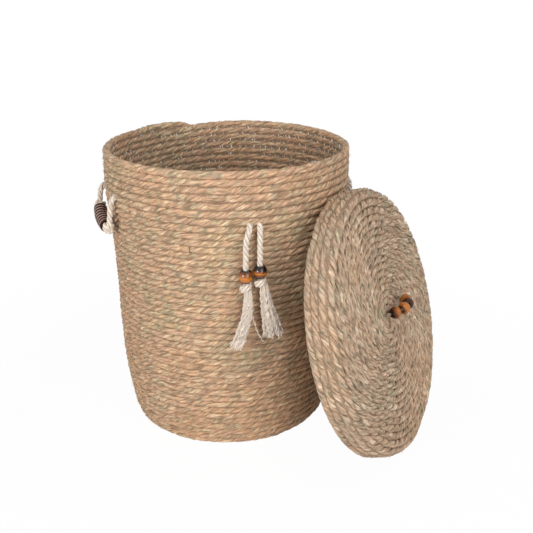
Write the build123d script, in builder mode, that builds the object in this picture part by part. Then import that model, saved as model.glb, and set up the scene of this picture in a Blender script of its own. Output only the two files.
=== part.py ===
from build123d import *
import math
import os

os.makedirs("parts", exist_ok=True)

# A round laundry basket sewn from one coiled seagrass rope, with a lid that leans on its side,
# two drop handles of wooden discs on cotton cord, and a pair of beaded tassels on the front.
# Millimetres, +Z up, origin at the middle of the base on the floor, +X towards the leaning lid.

# Coiled rope
ROPE = 11.4

# Basket wall, outer radius at each height
HEIGHT = 480.0
BASE_RADIUS = 168.0
FOOT_FLARE = 3.0
HIP_RADIUS = 188.0
HIP_HEIGHT = 115.0
WAIST_RADIUS = 193.0
WAIST_HEIGHT = 240.0
SHOULDER_RADIUS = 198.5
SHOULDER_DROP = 140.0
RIM_RADIUS = 206.0
COLLAR = 56.0
FOOT_SLOPE = 0.25

# Rope end on the rim
RIM_SEAT = 0.6
RIM_END_HEADING = 137.0
RIM_END_STEP = 6.0
RIM_END_LENGTH = 100.0
RIM_CUT_WIDTH = 70.0

# Lid
LID_HEIGHT = 48.0
LID_SHOULDER = 18.0
LID_CLEARANCE = 0.8
LID_LEAN = 15.4
LID_SIDE_SHIFT = -21.7
LID_WALL_GAP = 0.1

# Cotton cord of the handles and tassels
CORD = 9.5
CORD_HOLE_CLEARANCE = 0.3
SWING_GAP = 0.3
KNOT_RADIUS = 9.0
KNOT_GAP = 0.3
STUB_PROUD = 1.5
BEND_SHARE = 0.45

# Drop handles
HANDLE_HEADING = {"left": -135.0, "right": 45.0}
HANDLE_EXIT_DROP = 64.0
HANDLE_SPACING = 88.0
HANDLE_DROP = 45.0
HANDLE_LEAN = 4.0
HANDLE_BOW = 5.0
HANDLE_CORNER = 14.0
STOP_KNOT_RADIUS = 8.8
GRIP_LENGTH = 62.0
DISC_RADIUS = 11.0
DISC_BORE_CLEARANCE = 0.3
DARK_DISC = 5.0
LIGHT_DISC = 2.4
DISC_GAP = 0.25
DISC_CHAMFER = 0.9

# Tassels
TASSEL_HEADING = -50.5
TASSEL_EXIT_DROP = 82.0
TASSEL_SPACING = 14.8
TASSEL_BEND_DROP = 22.0
TASSEL_BEND_SIDE = {"left": -15.6, "right": 6.6}
TASSEL_END_SIDE = {"left": -16.8, "right": 6.0}
TASSEL_END_DROP = {"left": 88.5, "right": 83.0}
TASSEL_KNOT_RADIUS = 10.2
TASSEL_KNOT_LENGTH = {"left": 14.5, "right": 13.0}
FRINGE_LENGTH = {"left": 95.0, "right": 89.0}
FRINGE_SWING = {"left": -12.5, "right": 19.0}
FRINGE_HALF_WIDTH = {"left": 12.5, "right": 17.0}
FRINGE_HALF_DEPTH = 8.0
FRINGE_NECK = 5.2
FRINGE_BELLY_DROP = 0.45
FRINGE_BELLY_SWING = 0.35
FRINGE_BELLY_DEPTH = 0.8
FRINGE_BELLY_WIDTH = 0.6

# Turned wooden beads
BEAD_RADIUS = 11.0
BEAD_LENGTH = 20.5
BEAD_LAND = 1.6
BEAD_CLEARANCE = 0.35
BEAD_WALL_GAP = 1.8

# Bead arch on the lid
ARCH_CORD = 5.0
ARCH_SPAN = 78.0
ARCH_RISE = 21.2
ARCH_SHIFT = 17.0
ARCH_UP = 16.0
ARCH_BEADS = 4
ARCH_BEAD_RADIUS = 10.0
ARCH_BEAD_LENGTH = 18.5
ARCH_BEAD_PITCH = 20.6
ARCH_KNOT_RADIUS = 6.5
ARCH_BEAD_CLEARANCE = 1.15

# Foot of the wall just outside the base, and heights counted down from the rim
foot_radius = BASE_RADIUS + FOOT_FLARE
shoulder_height = HEIGHT - SHOULDER_DROP
collar_height = HEIGHT - COLLAR
handle_exit = HEIGHT - HANDLE_EXIT_DROP
tassel_exit = HEIGHT - TASSEL_EXIT_DROP
tassel_bend = tassel_exit - TASSEL_BEND_DROP


def around(heading, radial, side, height):
    """Point at a distance from the basket's axis and to one side of a heading."""
    turn = math.radians(heading)
    return Vector(
        radial * math.cos(turn) - side * math.sin(turn),
        radial * math.sin(turn) + side * math.cos(turn),
        height,
    )


def outward(heading):
    return around(heading, 1, 0, 0)


def wall_radius(height):
    """Outer radius of the wall in its cone and collar."""
    share = min(1, (height - shoulder_height) / (collar_height - shoulder_height))
    return SHOULDER_RADIUS + share * (RIM_RADIUS - SHOULDER_RADIUS)


def save(piece, node):
    piece.part.label = node
    export_step(piece.part, f"parts/{node}.step")


# Base: a flat spiral of rope with a rounded outer course
with BuildPart() as base_coil:
    with BuildSketch(Plane.XZ):
        with BuildLine():
            Polyline((BASE_RADIUS - ROPE / 2, ROPE), (0, ROPE), (0, 0), (BASE_RADIUS - ROPE / 2, 0))
            ThreePointArc(
                (BASE_RADIUS - ROPE / 2, 0), (BASE_RADIUS, ROPE / 2), (BASE_RADIUS - ROPE / 2, ROPE)
            )
        make_face()
    revolve(axis=Axis.Z)
save(base_coil, "base_coil")

# Wall: the coil climbs from the base in a soft bulge, opens in a cone and ends in a straight collar
WALL_TOP = HEIGHT - ROPE + RIM_SEAT
wall_line = [
    (foot_radius, ROPE),
    (HIP_RADIUS, HIP_HEIGHT),
    (WAIST_RADIUS, WAIST_HEIGHT),
    (SHOULDER_RADIUS, shoulder_height),
]
inner_line = [(radius - ROPE, height) for radius, height in wall_line]
wall_ends = ((FOOT_SLOPE, 1), (RIM_RADIUS - SHOULDER_RADIUS, collar_height - shoulder_height))
HOLE_RADIUS = CORD / 2 + CORD_HOLE_CLEARANCE
HOLE_DEPTH = 6 * ROPE
hole_start = RIM_RADIUS + ROPE - HOLE_DEPTH
handle_sides = (-HANDLE_SPACING / 2, HANDLE_SPACING / 2)
tassel_sides = {"left": -TASSEL_SPACING / 2, "right": TASSEL_SPACING / 2}
cord_holes = [
    Plane(around(heading, hole_start, side, handle_exit), z_dir=outward(heading))
    for heading in HANDLE_HEADING.values()
    for side in handle_sides
]
cord_holes += [
    Plane(around(TASSEL_HEADING, hole_start, side, tassel_exit), z_dir=outward(TASSEL_HEADING))
    for side in tassel_sides.values()
]
with BuildPart() as wall_coil:
    with BuildSketch(Plane.XZ):
        with BuildLine():
            Spline(*wall_line, tangents=wall_ends)
            Polyline(
                wall_line[-1],
                (RIM_RADIUS, collar_height),
                (RIM_RADIUS, WALL_TOP),
                (RIM_RADIUS - ROPE, WALL_TOP),
                (RIM_RADIUS - ROPE, collar_height),
                inner_line[-1],
            )
            Spline(*inner_line, tangents=wall_ends)
            Line(inner_line[0], wall_line[0])
        make_face()
    revolve(axis=Axis.Z)
    for cord_hole in cord_holes:
        with BuildSketch(cord_hole):
            Circle(HOLE_RADIUS)
        extrude(amount=HOLE_DEPTH, mode=Mode.SUBTRACT)
save(wall_coil, "wall_coil")

# Rim: the last course of rope, whose tapered end steps down at the back
rim_end = around(RIM_END_HEADING, RIM_RADIUS, 0, HEIGHT - RIM_END_STEP)
ramp_normal = around(RIM_END_HEADING, 0, RIM_END_STEP, RIM_END_LENGTH)
ramp = Plane(rim_end, x_dir=outward(RIM_END_HEADING), z_dir=ramp_normal)
with BuildPart() as rim_rope:
    with BuildSketch(Plane.XZ):
        with Locations((RIM_RADIUS - ROPE / 2, HEIGHT - ROPE / 2)):
            Circle(ROPE / 2)
        with Locations((RIM_RADIUS - ROPE / 2, WALL_TOP - ROPE / 2)):
            Rectangle(2 * ROPE, ROPE, mode=Mode.SUBTRACT)
    revolve(axis=Axis.Z)
    with BuildSketch(ramp):
        Rectangle(RIM_CUT_WIDTH, RIM_END_LENGTH + ROPE, align=(Align.CENTER, Align.MAX))
    extrude(amount=2 * ROPE, mode=Mode.SUBTRACT)
save(rim_rope, "rim_rope")

# Lid frame: it stands on its open edge and leans back on the collar
lean = math.radians(LID_LEAN)
lid_normal = Vector(math.cos(lean), 0, math.sin(lean))
lid_up = Vector(-math.sin(lean), 0, math.cos(lean))
lid_across = Vector(0, 1, 0)
LID_RADIUS = RIM_RADIUS + LID_CLEARANCE + ROPE
edge_circle = LID_RADIUS - ROPE / 2
edge_foot = edge_circle * math.cos(lean) - ROPE / 2 * math.sin(lean) + ROPE / 2
edge_top = edge_foot + ROPE / 2 * math.sin(lean) + edge_circle * math.cos(lean)
edge_rest = wall_radius(edge_top) + LID_WALL_GAP
edge_back = edge_rest + ROPE / 2 * (1 - math.cos(lean)) + edge_circle * math.sin(lean)
lid_origin = Vector(edge_back, LID_SIDE_SHIFT, edge_foot)
lid_axis = Axis(lid_origin, lid_normal)
lid_section = Plane(lid_origin, x_dir=lid_up, z_dir=lid_up.cross(lid_normal))

# Lid top: the flat spiral and its rounded shoulder
SHOULDER_FOOT = LID_HEIGHT - LID_SHOULDER
SHOULDER_MIDDLE = LID_RADIUS - LID_SHOULDER
inner_shoulder = LID_SHOULDER - ROPE
diagonal = math.sqrt(0.5)
with BuildPart() as lid_top_coil:
    with BuildSketch(lid_section):
        with BuildLine():
            Polyline(
                (SHOULDER_MIDDLE, LID_HEIGHT),
                (0, LID_HEIGHT),
                (0, LID_HEIGHT - ROPE),
                (SHOULDER_MIDDLE, LID_HEIGHT - ROPE),
            )
            ThreePointArc(
                (SHOULDER_MIDDLE, LID_HEIGHT - ROPE),
                (SHOULDER_MIDDLE + inner_shoulder * diagonal, SHOULDER_FOOT + inner_shoulder * diagonal),
                (LID_RADIUS - ROPE, SHOULDER_FOOT),
            )
            Line((LID_RADIUS - ROPE, SHOULDER_FOOT), (LID_RADIUS, SHOULDER_FOOT))
            ThreePointArc(
                (LID_RADIUS, SHOULDER_FOOT),
                (SHOULDER_MIDDLE + LID_SHOULDER * diagonal, SHOULDER_FOOT + LID_SHOULDER * diagonal),
                (SHOULDER_MIDDLE, LID_HEIGHT),
            )
        make_face()
    revolve(axis=lid_axis)
    arch_feet = [
        lid_origin + lid_up * ARCH_UP + lid_across * (ARCH_SHIFT + end * ARCH_SPAN / 2) for end in (-1, 1)
    ]
    with BuildSketch(*[Plane(foot, z_dir=lid_normal) for foot in arch_feet]):
        Circle(ARCH_CORD / 2 + CORD_HOLE_CLEARANCE)
    extrude(amount=LID_HEIGHT + ROPE, mode=Mode.SUBTRACT)
save(lid_top_coil, "lid_top_coil")

# Lid skirt: the turned-down courses, with a round open edge
with BuildPart() as lid_skirt_coil:
    with BuildSketch(lid_section):
        with BuildLine():
            Polyline(
                (LID_RADIUS, ROPE / 2),
                (LID_RADIUS, SHOULDER_FOOT),
                (LID_RADIUS - ROPE, SHOULDER_FOOT),
                (LID_RADIUS - ROPE, ROPE / 2),
            )
            ThreePointArc((LID_RADIUS - ROPE, ROPE / 2), (edge_circle, 0), (LID_RADIUS, ROPE / 2))
        make_face()
    revolve(axis=lid_axis)
save(lid_skirt_coil, "lid_skirt_coil")


def anchor(plane, knot_depth, tip, cord, knot):
    """Cord end through a hole, from its stopper knot inside to its face outside."""
    with BuildPart() as piece:
        with BuildSketch(plane.offset(knot_depth)):
            Circle(cord / 2)
        extrude(amount=tip - knot_depth)
        with Locations(plane.offset(knot_depth)):
            Sphere(knot)
    return piece.part


def tube(route, diameter):
    """Round cord along a route of straight runs and tangent arcs."""
    with BuildPart() as piece:
        for run in route.edges():
            with BuildSketch(Plane(run @ 0, z_dir=run % 0)):
                Circle(diameter / 2)
            if run.geom_type == GeomType.CIRCLE:
                turning = Axis(run.arc_center, (run % 0).cross(run % 1))
                revolve(axis=turning, revolution_arc=math.degrees(run.length / run.radius))
            else:
                extrude(amount=run.length)
    return piece.part


# Lid anchors: the two ends of the arch's cord, knotted under the lid
arch_knot_depth = LID_HEIGHT - ROPE - ARCH_KNOT_RADIUS - KNOT_GAP
arch_tip = LID_HEIGHT + STUB_PROUD
with BuildPart() as lid_handle_anchors:
    for foot in arch_feet:
        add(anchor(Plane(foot, z_dir=lid_normal), arch_knot_depth, arch_tip, ARCH_CORD, ARCH_KNOT_RADIUS))
save(lid_handle_anchors, "lid_handle_anchors")

# Lid handle cord: an arch that can flop over on its two feet
arch_pivot = arch_tip + SWING_GAP + ARCH_CORD / 2
arch_ends = [foot + lid_normal * arch_pivot for foot in arch_feet]
arch_top = (arch_ends[0] + arch_ends[1]) * 0.5 + lid_normal * ARCH_RISE
with BuildLine() as arch_route:
    ThreePointArc(arch_ends[0], arch_top, arch_ends[1])
arch_line = arch_route.edges()[0]
with BuildPart() as lid_handle_cord:
    add(tube(arch_line, ARCH_CORD))
    with Locations(*arch_ends):
        Sphere(ARCH_CORD / 2)
save(lid_handle_cord, "lid_handle_cord")


def bead(centre, along, radius, length, bore):
    """Turned barrel bead with flat ends and a bore, strung along a direction."""
    axis_plane = Plane(centre, z_dir=along)
    profile = Plane(centre, x_dir=axis_plane.x_dir, z_dir=axis_plane.x_dir.cross(along))
    with BuildPart() as piece:
        with BuildSketch(profile):
            with BuildLine():
                Polyline(
                    (bore + BEAD_LAND, length / 2),
                    (bore, length / 2),
                    (bore, -length / 2),
                    (bore + BEAD_LAND, -length / 2),
                )
                Spline((bore + BEAD_LAND, -length / 2), (radius, 0), (bore + BEAD_LAND, length / 2))
            make_face()
        revolve(axis=Axis(centre, along))
    return piece


# Lid beads: four in a row along the arch
for number in range(ARCH_BEADS):
    distance = arch_line.length / 2 + (number - (ARCH_BEADS - 1) / 2) * ARCH_BEAD_PITCH
    spot = distance / arch_line.length
    lid_bead = bead(
        arch_line @ spot,
        arch_line % spot,
        ARCH_BEAD_RADIUS,
        ARCH_BEAD_LENGTH,
        ARCH_CORD / 2 + ARCH_BEAD_CLEARANCE,
    )
    save(lid_bead, f"lid_bead_{number + 1}")

# Drop handles: stub and knot in the wall, cord loop, and a grip of stacked discs
handle_wall = wall_radius(handle_exit)
wall_at_exit = math.sqrt(handle_wall**2 - (HANDLE_SPACING / 2) ** 2)
inner_at_exit = math.sqrt((handle_wall - ROPE - KNOT_RADIUS - KNOT_GAP) ** 2 - (HANDLE_SPACING / 2) ** 2)
handle_tip = wall_at_exit + CORD / 2 * HANDLE_SPACING / 2 / handle_wall + STUB_PROUD
handle_pivot = handle_tip + SWING_GAP + CORD / 2
grip_height = handle_exit - HANDLE_DROP
disc_bore = CORD / 2 + DISC_BORE_CLEARANCE
for name, heading in HANDLE_HEADING.items():
    with BuildPart() as handle_anchors:
        for side in handle_sides:
            exit_plane = Plane(around(heading, 0, side, handle_exit), z_dir=outward(heading))
            add(anchor(exit_plane, inner_at_exit, handle_tip, CORD, KNOT_RADIUS))
    save(handle_anchors, f"{name}_handle_anchors")

    grip_radial = handle_pivot + HANDLE_LEAN
    loop = [
        around(heading, handle_pivot, handle_sides[0], handle_exit),
        around(heading, grip_radial, handle_sides[0], grip_height),
        around(heading, grip_radial + HANDLE_BOW, 0, grip_height),
        around(heading, grip_radial, handle_sides[1], grip_height),
        around(heading, handle_pivot, handle_sides[1], handle_exit),
    ]
    bow_turn = math.atan(HANDLE_BOW / (HANDLE_SPACING / 2))
    bow_radius = BEND_SHARE * HANDLE_SPACING / 2 / math.tan(bow_turn)
    with BuildLine() as loop_route:
        FilletPolyline(*loop, radius=[HANDLE_CORNER, bow_radius, HANDLE_CORNER])
    loop_line = loop_route.wires()[0]
    stack = []
    used = 0.0
    while used + DARK_DISC <= GRIP_LENGTH:
        stack.append((used, DARK_DISC))
        used += DARK_DISC + DISC_GAP
        stack.append((used, LIGHT_DISC))
        used += LIGHT_DISC + DISC_GAP
    stack.pop()
    stack_length = stack[-1][0] + DARK_DISC
    grip_start = (loop_line.length - stack_length) / 2
    knot_spot = (grip_start - SWING_GAP - STOP_KNOT_RADIUS) / loop_line.length
    with BuildPart() as handle_cord:
        add(tube(loop_line, CORD))
        share = handle_cord.part.volume / (loop_line.length * math.pi * CORD**2 / 4)
        print(f"{name} handle cord {loop_line.length:.1f} mm, volume {share:.4f} of section times length")
        for spot, radius in ((0, CORD / 2), (knot_spot, STOP_KNOT_RADIUS)):
            for place in (spot, 1 - spot):
                with Locations(Plane(loop_line @ place, z_dir=loop_line % place)):
                    Sphere(radius)
    save(handle_cord, f"{name}_handle_cord")

    for shade, thickness in (("dark", DARK_DISC), ("light", LIGHT_DISC)):
        with BuildPart() as discs:
            for start, disc in stack:
                if disc == thickness:
                    spot = (grip_start + start + disc / 2) / loop_line.length
                    with BuildSketch(Plane(loop_line @ spot, z_dir=loop_line % spot)):
                        Circle(DISC_RADIUS)
                        Circle(disc_bore, mode=Mode.SUBTRACT)
                    extrude(amount=disc / 2, both=True)
            if shade == "dark":
                rims = discs.edges().filter_by(GeomType.CIRCLE)
                chamfer([rim for rim in rims if rim.radius > disc_bore], DISC_CHAMFER)
        save(discs, f"{name}_handle_{shade}_discs")

# Tassel bridge: one cord looped through the wall, with its bend inside
tassel_wall = wall_radius(tassel_exit)
tassel_tip = math.sqrt(tassel_wall**2 - (TASSEL_SPACING / 2) ** 2) + STUB_PROUD
tassel_pivot = tassel_tip + SWING_GAP + CORD / 2
tassel_hang = max(SHOULDER_RADIUS, wall_radius(tassel_bend)) + BEAD_RADIUS + BEAD_WALL_GAP
bend_depth = tassel_wall - ROPE - CORD / 2 - KNOT_GAP - TASSEL_SPACING / 2
with BuildPart() as tassel_bridge:
    for side in tassel_sides.values():
        with BuildSketch(
            Plane(around(TASSEL_HEADING, bend_depth, side, tassel_exit), z_dir=outward(TASSEL_HEADING))
        ):
            Circle(CORD / 2)
        extrude(amount=tassel_tip - bend_depth)
    bend_start = around(TASSEL_HEADING, bend_depth, tassel_sides["left"], tassel_exit)
    with BuildSketch(Plane(bend_start, z_dir=outward(TASSEL_HEADING))):
        Circle(CORD / 2)
    bend_middle = around(TASSEL_HEADING, bend_depth, 0, tassel_exit)
    revolve(axis=Axis(bend_middle, (0, 0, -1)), revolution_arc=180)
save(tassel_bridge, "tassel_bridge")

# Tassels: a hanging cord, a bead that rests on its knot, and a frayed fringe
for name, side in tassel_sides.items():
    pivot = around(TASSEL_HEADING, tassel_pivot, side, tassel_exit)
    bend = around(TASSEL_HEADING, tassel_hang, TASSEL_BEND_SIDE[name], tassel_bend)
    end = around(TASSEL_HEADING, tassel_hang, TASSEL_END_SIDE[name], tassel_exit - TASSEL_END_DROP[name])
    turn = math.radians((bend - pivot).get_angle(end - bend))
    bend_radius = BEND_SHARE * (bend - pivot).length / math.tan(turn / 2)
    print(f"{name} tassel cord bend radius {bend_radius:.1f} mm")
    with BuildLine() as strand_route:
        FilletPolyline(pivot, bend, end, radius=bend_radius)
    strand_line = strand_route.wires()[0]
    with BuildPart() as tassel_cord:
        add(tube(strand_line, CORD))
        share = tassel_cord.part.volume / (strand_line.length * math.pi * CORD**2 / 4)
        print(f"{name} tassel cord {strand_line.length:.1f} mm, volume {share:.4f} of section times length")
        with Locations(pivot):
            Sphere(CORD / 2)
    save(tassel_cord, f"{name}_tassel_cord")

    hang = (end - bend).normalized()
    knot_length = TASSEL_KNOT_LENGTH[name]
    knot_plane = Plane(end, x_dir=outward(TASSEL_HEADING), z_dir=outward(TASSEL_HEADING).cross(-hang))
    with BuildPart() as tassel_knot:
        with BuildSketch(knot_plane):
            with BuildLine():
                Polyline((CORD / 2, 0), (0, 0), (0, -knot_length), (FRINGE_NECK, -knot_length))
                ThreePointArc(
                    (FRINGE_NECK, -knot_length), (TASSEL_KNOT_RADIUS, -knot_length / 2), (CORD / 2, 0)
                )
            make_face()
        revolve(axis=Axis(end, hang))
    save(tassel_knot, f"{name}_tassel_knot")

    bead_middle = end - hang * (BEAD_LENGTH / 2 + SWING_GAP)
    tassel_bead = bead(bead_middle, hang, BEAD_RADIUS, BEAD_LENGTH, CORD / 2 + BEAD_CLEARANCE)
    save(tassel_bead, f"{name}_tassel_bead")

    neck = end + hang * knot_length
    swing = around(TASSEL_HEADING, 0, FRINGE_SWING[name], 0)
    fringe_tip = neck + swing - Vector(0, 0, FRINGE_LENGTH[name])
    fringe_belly = neck + swing * FRINGE_BELLY_SWING - Vector(0, 0, FRINGE_LENGTH[name] * FRINGE_BELLY_DROP)
    with BuildPart() as tassel_fringe:
        with BuildSketch(Plane(neck, x_dir=outward(TASSEL_HEADING), z_dir=hang)):
            Circle(FRINGE_NECK)
        with BuildSketch(Plane(fringe_belly, x_dir=outward(TASSEL_HEADING), z_dir=(0, 0, -1))):
            Ellipse(FRINGE_HALF_DEPTH * FRINGE_BELLY_DEPTH, FRINGE_HALF_WIDTH[name] * FRINGE_BELLY_WIDTH)
        with BuildSketch(Plane(fringe_tip, x_dir=outward(TASSEL_HEADING), z_dir=(0, 0, -1))):
            Ellipse(FRINGE_HALF_DEPTH, FRINGE_HALF_WIDTH[name])
        loft()
    save(tassel_fringe, f"{name}_tassel_fringe")
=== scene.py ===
import math

import bpy
import numpy as np
from mathutils import Matrix, Vector


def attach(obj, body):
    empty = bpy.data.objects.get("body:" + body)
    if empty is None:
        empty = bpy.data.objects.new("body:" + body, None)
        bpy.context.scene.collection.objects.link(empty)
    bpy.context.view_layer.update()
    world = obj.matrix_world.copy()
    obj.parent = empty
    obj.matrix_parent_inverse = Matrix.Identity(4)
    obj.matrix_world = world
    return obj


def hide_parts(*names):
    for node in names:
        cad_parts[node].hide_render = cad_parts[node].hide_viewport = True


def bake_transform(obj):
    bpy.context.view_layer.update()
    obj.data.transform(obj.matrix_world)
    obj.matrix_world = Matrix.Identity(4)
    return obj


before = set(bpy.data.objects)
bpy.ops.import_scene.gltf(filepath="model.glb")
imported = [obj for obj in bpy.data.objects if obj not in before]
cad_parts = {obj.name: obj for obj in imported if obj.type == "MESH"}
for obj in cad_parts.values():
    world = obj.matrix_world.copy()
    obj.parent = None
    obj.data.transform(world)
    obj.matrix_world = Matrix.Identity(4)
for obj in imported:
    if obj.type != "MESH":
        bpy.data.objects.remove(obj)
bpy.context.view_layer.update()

# Camera: at the photograph's place, in front of the basket, a little to the right of the tassels
# and well above the rim, so that the far inside of the basket shows.


def put(name, data):
    """New object in the scene."""
    made = bpy.data.objects.new(name, data)
    bpy.context.scene.collection.objects.link(made)
    return made


camera = put("camera", bpy.data.cameras.new("camera"))
camera.data.lens = 59.24
camera.data.sensor_width = 36.0
camera.location = (0.6898, -1.2864, 0.7940)
camera.rotation_euler = (math.radians(69.815), 0.0, math.radians(25.56))
bpy.context.scene.camera = camera
bpy.context.scene.view_settings.view_transform = "Standard"

# Base of the basket: one seagrass rope of three twisted strands, sewn into a flat spiral from the
# middle outwards. The same rope then climbs in courses and makes the wall and the rim.
ROPE = 0.0114
ROPE_STEP = 0.0042
FULL_TURN = 2 * math.pi
HAIR_LEAN = (-1.25, -1.25, 0.0), (1.25, 1.25, 6.28)


def feed(tree, made, inputs):
    """Links or sets a node's inputs."""
    for key, value in inputs.items():
        if isinstance(value, bpy.types.NodeSocket):
            tree.links.new(value, made.inputs[key])
        else:
            made.inputs[key].default_value = value


def node(tree, kind, *values, **named):
    """Adds a node. Values go to its inputs in order; a name with a capital is an input, another an option."""
    made = tree.nodes.new(kind)
    inputs = dict(enumerate(values))
    for key, value in named.items():
        if key[0].isupper():
            inputs[key.replace("_", " ")] = value
        else:
            setattr(made, key, value)
    feed(tree, made, inputs)
    return made


def shape(tree, kind, *values, **named):
    """Adds a geometry node; returns its first output."""
    return node(tree, f"GeometryNode{kind}", *values, **named).outputs[0]


def calc(tree, operation, *values):
    return node(tree, "ShaderNodeMath", *values, operation=operation).outputs[0]


def times(tree, first, second):
    return calc(tree, "MULTIPLY", first, second)


def vector(tree, operation, *values):
    """Sum or other result of vectors; a length or a dot product is a number."""
    made = node(tree, "ShaderNodeVectorMath", *values, operation=operation)
    return made.outputs["Value" if operation in ("LENGTH", "DOT_PRODUCT") else "Vector"]


def scaled(tree, arrow, amount):
    return node(tree, "ShaderNodeVectorMath", arrow, Scale=amount, operation="SCALE").outputs[0]


def upward(tree, amount):
    return node(tree, "ShaderNodeCombineXYZ", Z=amount).outputs[0]


def noise(tree, spot, scale, detail, dimensions="3D", **extra):
    """Outputs of a noise over places, or over a length if it has one dimension."""
    extra["W" if dimensions == "1D" else "Vector"] = spot
    return node(
        tree, "ShaderNodeTexNoise", Scale=scale, Detail=detail, noise_dimensions=dimensions, **extra
    ).outputs


def chance(tree, seed, low, high, **extra):
    """Random number between two limits, drawn for each element."""
    made = node(tree, "FunctionNodeRandomValue", Seed=seed, data_type="FLOAT", **extra)
    feed(tree, made, {2: low, 3: high})
    return made.outputs[1]


def ring(tree, sides, radius):
    return shape(tree, "CurvePrimitiveCircle", sides, Radius=radius)


def spin(tree, kind, *values, **named):
    """Adds a node that makes a rotation; returns its output."""
    return node(tree, f"FunctionNode{kind}", *values, **named).outputs[0]


def own_place(tree):
    return node(tree, "ShaderNodeTexCoord").outputs["Object"]


SOCKET_KIND = {int: "Int", float: "Float", tuple: "Vector"}


def new_tree(name, kind, outputs, **inputs):
    """Node group with named sockets, each of the kind of its value; returns it with its input sockets."""
    tree = bpy.data.node_groups.new(name, kind)
    for label, value in inputs.items():
        sort = SOCKET_KIND.get(type(value), value)
        socket = tree.interface.new_socket(
            label.replace("_", " "), in_out="INPUT", socket_type=f"NodeSocket{sort}"
        )
        if sort != value:
            socket.default_value = value
    for label, sort in outputs.items():
        tree.interface.new_socket(label, in_out="OUTPUT", socket_type=f"NodeSocket{sort}")
    return tree, node(tree, "NodeGroupInput").outputs


def line_tree(name, **inputs):
    """Geometry tree that works along a line; returns it with its input sockets and the line."""
    tree, given = new_tree(
        name, "GeometryNodeTree", {"Made": "Geometry"}, Line="Geometry", Material="Material", **inputs
    )
    return tree, given, shape(tree, "MeshToCurve", given["Line"])


def store(tree, geometry, label, value, sort="FLOAT"):
    return shape(
        tree, "StoreNamedAttribute", geometry, Name=label, Value=value, data_type=sort, domain="POINT"
    )


def covered(tree, geometry, material):
    """Ends a tree: makes its geometry real and gives it a material."""
    geometry = shape(tree, "RealizeInstances", geometry)
    node(tree, "NodeGroupOutput", shape(tree, "SetMaterial", geometry, Material=material))
    return tree


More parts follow.
